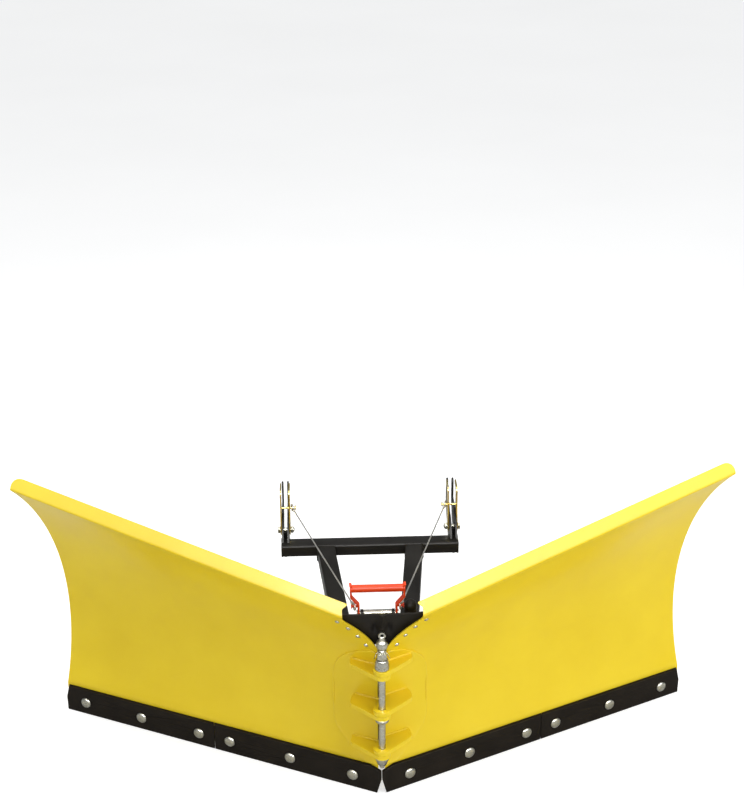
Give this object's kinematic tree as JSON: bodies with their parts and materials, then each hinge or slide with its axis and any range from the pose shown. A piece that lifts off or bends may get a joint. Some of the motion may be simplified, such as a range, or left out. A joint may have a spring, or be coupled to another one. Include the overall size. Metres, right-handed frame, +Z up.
{
  "type": "atv v-plow blade",
  "caption": "Hinged V-plow for a quad bike: curved wings on an upright pin, cutting edges, rubber flap, sprung trip carrier and a quick-release push frame.",
  "frame": {"origin": "on the ground under the middle of the object's box", "axes": "+X to the right seen from in front, +Y to the rear where the vehicle is, +Z up"},
  "size_m": [1.4416, 0.7674, 0.6145],
  "materials": {
    "yellow_coat": "glossy yellow powder coat",
    "black_coat": "satin black powder coat",
    "edge_steel": "black painted wear steel",
    "zinc": "bright zinc plate",
    "gold_zinc": "yellow passivated zinc plate",
    "red_coat": "red powder coat",
    "rubber": "matte black rubber sheet",
    "spring_steel": "oiled spring steel",
    "wire_rope": "galvanised wire rope"
  },
  "bodies": {
    "push_frame": {"left_frame_leg": "black_coat", "right_frame_leg": "black_coat", "cross_tube": "black_coat", "front_head": "black_coat", "lift_bar": "zinc", "trip_pin": "zinc", "lift_buffer": "rubber", "left_upright": "black_coat", "right_upright": "black_coat", "left_hook_bolt": "zinc", "right_hook_bolt": "zinc", "left_return_spring": "spring_steel", "right_return_spring": "spring_steel"},
    "trip_carrier": {"carrier": "black_coat", "hinge_pin": "zinc", "lower_pin_block": "zinc", "upper_pin_block": "zinc", "pin_collar": "zinc", "castle_nut": "zinc", "eye_nut": "zinc"},
    "handle": {"handle_straps": "red_coat", "handle_grip": "red_coat"},
    "left_wing": {"left_moldboard": "yellow_coat", "left_hinge_plate": "yellow_coat", "left_back_beam": "yellow_coat", "left_inner_rib": "yellow_coat", "left_outer_rib": "yellow_coat", "left_index_plate": "black_coat", "left_inner_cutting_edge": "edge_steel", "left_outer_cutting_edge": "edge_steel", "left_edge_bolt_1": "zinc", "left_edge_bolt_2": "zinc", "left_edge_bolt_3": "zinc", "left_edge_bolt_4": "zinc", "left_edge_bolt_5": "zinc", "left_edge_bolt_6": "zinc", "left_rubber_flap": "rubber"},
    "left_lock": {"left_lock_pin": "zinc"},
    "left_wire": {"left_release_wire": "wire_rope"},
    "left_hook": {"left_release_hook": "gold_zinc"},
    "right_wing": {"right_moldboard": "yellow_coat", "right_hinge_plate": "yellow_coat", "right_back_beam": "yellow_coat", "right_inner_rib": "yellow_coat", "right_outer_rib": "yellow_coat", "right_index_plate": "black_coat", "right_inner_cutting_edge": "edge_steel", "right_outer_cutting_edge": "edge_steel", "right_edge_bolt_1": "zinc", "right_edge_bolt_2": "zinc", "right_edge_bolt_3": "zinc", "right_edge_bolt_4": "zinc", "right_edge_bolt_5": "zinc", "right_edge_bolt_6": "zinc", "right_rubber_flap": "rubber"},
    "right_lock": {"right_lock_pin": "zinc"},
    "right_wire": {"right_release_wire": "wire_rope"},
    "right_hook": {"right_release_hook": "gold_zinc"}
  },
  "joints": [
    {"name": "blade_trip", "type": "hinge", "parent": "push_frame", "child": "trip_carrier", "pos_m": [0, -0.25835, 0.098], "axis": [1, 0, 0], "range_deg": [0, 20], "stiffness_Nm_per_rad": 120, "springref_deg": -28.65, "deforming": ["left_return_spring", "right_return_spring"]},
    {"name": "left_wing_swing", "type": "hinge", "parent": "trip_carrier", "child": "left_wing", "pos_m": [0, -0.34635, 0.2], "axis": [0, 0, 1], "range_deg": [0, 50], "deforming": ["left_rubber_flap"]},
    {"name": "right_wing_swing", "type": "hinge", "parent": "trip_carrier", "child": "right_wing", "pos_m": [0, -0.34635, 0.2], "axis": [0, 0, -1], "range_deg": [0, 50], "deforming": ["right_rubber_flap"]},
    {"name": "left_lock_slide", "type": "slide", "parent": "trip_carrier", "child": "left_lock", "axis": [0, 0, -1], "range_m": [0, 0.018]},
    {"name": "right_lock_slide", "type": "slide", "parent": "trip_carrier", "child": "right_lock", "axis": [0, 0, -1], "range_m": [0, 0.018]},
    {"name": "handle_pull", "type": "hinge", "parent": "push_frame", "child": "handle", "pos_m": [0, -0.15635, 0.313], "axis": [1, 0, 0], "range_deg": [0, 45], "stiffness_Nm_per_rad": 1, "springref_deg": -22.92},
    {"name": "left_wire_slide", "type": "slide", "parent": "push_frame", "child": "left_wire", "axis": [0.2759, -0.9607, 0.0312], "range_m": [0, 0.011]},
    {"name": "left_hook_open", "type": "hinge", "parent": "push_frame", "child": "left_hook", "pos_m": [-0.196, 0.29365, 0.261], "axis": [1, 0, 0], "range_deg": [0, 13]},
    {"name": "right_wire_slide", "type": "slide", "parent": "push_frame", "child": "right_wire", "axis": [-0.2759, -0.9607, 0.0312], "range_m": [0, 0.011]},
    {"name": "right_hook_open", "type": "hinge", "parent": "push_frame", "child": "right_hook", "pos_m": [0.196, 0.29365, 0.261], "axis": [1, 0, 0], "range_deg": [0, 13]}
  ],
  "couplings": [
    {"joint": "left_wire_slide", "follows": "handle_pull", "m_per_rad": 0.013643},
    {"joint": "left_hook_open", "follows": "handle_pull", "ratio": 0.27016},
    {"joint": "right_wire_slide", "follows": "handle_pull", "m_per_rad": 0.013643},
    {"joint": "right_hook_open", "follows": "handle_pull", "ratio": 0.27016}
  ]
}
